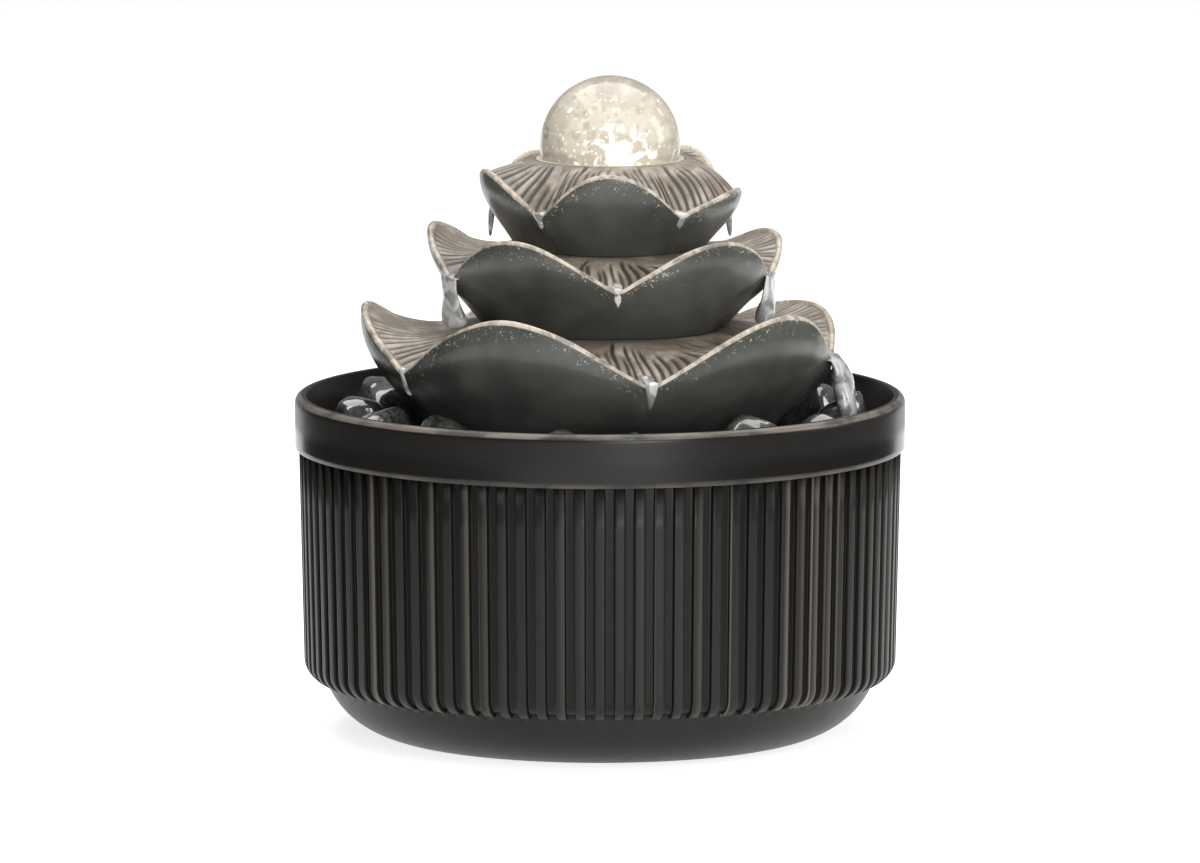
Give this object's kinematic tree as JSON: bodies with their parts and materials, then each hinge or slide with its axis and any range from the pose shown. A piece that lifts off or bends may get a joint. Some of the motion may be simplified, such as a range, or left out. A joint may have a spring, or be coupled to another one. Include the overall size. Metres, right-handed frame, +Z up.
{
  "type": "tabletop fountain",
  "caption": "Tabletop water fountain: a ribbed round bowl with a hidden pump, a tray of loose stones, stacked leaf tiers and a lit glass ball on top.",
  "frame": {"origin": "middle of the underside, on the surface that the foot pads stand on", "axes": "+Z up; the front faces -Y; +X is to the right seen from the front"},
  "size_m": [0.2, 0.2, 0.216],
  "materials": {
    "pot_shell": "satin",
    "basin_shell": "satin",
    "inner_plastic": "matte",
    "rubber": "matte",
    "lead_sheath": "satin",
    "steel": "satin",
    "connector_plastic": "gloss",
    "contact_metal": "polished",
    "circuit_board": "satin",
    "terminal_plastic": "satin",
    "pump_plastic": "satin",
    "dial_plastic": "satin",
    "seal_rubber": "satin",
    "shaft_ceramic": "polished",
    "bush_plastic": "satin",
    "magnet": "matte",
    "impeller_plastic": "satin",
    "sponge": "matte",
    "cast_resin": "satin",
    "wet_stone": "gloss",
    "riser_plastic": "satin",
    "cup_plastic": "satin",
    "lamp_board_white": "satin",
    "lamp_chip": "gloss",
    "ball_glass": "polished"
  },
  "bodies": {
    "bowl": {"outer_pot": "pot_shell", "basin": "basin_shell", "base_plate": "inner_plastic", "base_screws": "steel", "foot_pads": "rubber", "inlet_socket": "connector_plastic", "inlet_pin": "steel", "inlet_nut": "steel", "inlet_boot": "rubber", "control_board": "circuit_board", "board_terminals": "terminal_plastic", "floor_grommet": "rubber", "inlet_lead": "lead_sheath", "pump_lead": "lead_sheath", "lamp_supply_lead": "lead_sheath", "pump_motor": "pump_plastic", "pump_cover": "pump_plastic", "cover_seal": "seal_rubber", "pump_shaft": "shaft_ceramic", "shaft_bushes": "bush_plastic", "intake_grille": "pump_plastic", "intake_sponge": "sponge", "suction_cups": "rubber", "lamp_socket": "connector_plastic", "lamp_contacts": "contact_metal"},
    "impeller": {"rotor_magnet": "magnet", "impeller_wheel": "impeller_plastic"},
    "dial": {"flow_dial": "dial_plastic"},
    "tray": {"stone_tray": "inner_plastic", "stone_01": "wet_stone", "stone_02": "wet_stone", "stone_03": "wet_stone", "stone_04": "wet_stone", "stone_05": "wet_stone", "stone_06": "wet_stone", "stone_07": "wet_stone", "stone_08": "wet_stone", "stone_09": "wet_stone", "stone_10": "wet_stone", "stone_11": "wet_stone", "stone_12": "wet_stone", "stone_13": "wet_stone", "stone_14": "wet_stone"},
    "sculpture": {"leaf_tier_bottom": "cast_resin", "leaf_tier_middle": "cast_resin", "leaf_tier_top": "cast_resin", "riser_tube": "riser_plastic", "riser_collar": "riser_plastic", "ball_cup": "cup_plastic", "lamp_board": "lamp_board_white", "lamp_chips": "lamp_chip", "lamp_lens": "cup_plastic", "lamp_lead": "lead_sheath", "lamp_plug": "connector_plastic"},
    "ball": {"glass_ball": "ball_glass"}
  },
  "joints": [
    {"name": "tray_lift", "type": "slide", "parent": "bowl", "child": "tray", "axis": [0, 0, 1], "range_m": [0, 0.12]},
    {"name": "sculpture_lift", "type": "slide", "parent": "tray", "child": "sculpture", "axis": [0, 0, 1], "range_m": [0, 0.1]},
    {"name": "ball_roll", "type": "hinge", "parent": "sculpture", "child": "ball", "pos_m": [0.0033, 0, 0.193], "axis": [1, 0, 0], "continuous": true},
    {"name": "impeller_spin", "type": "hinge", "parent": "bowl", "child": "impeller", "pos_m": [0.002, 0, 0.0494], "axis": [0, 1, 0], "continuous": true},
    {"name": "dial_turn", "type": "hinge", "parent": "bowl", "child": "dial", "pos_m": [0.002, 0, 0.0494], "axis": [0, 1, 0], "range_deg": [0, 90]}
  ]
}
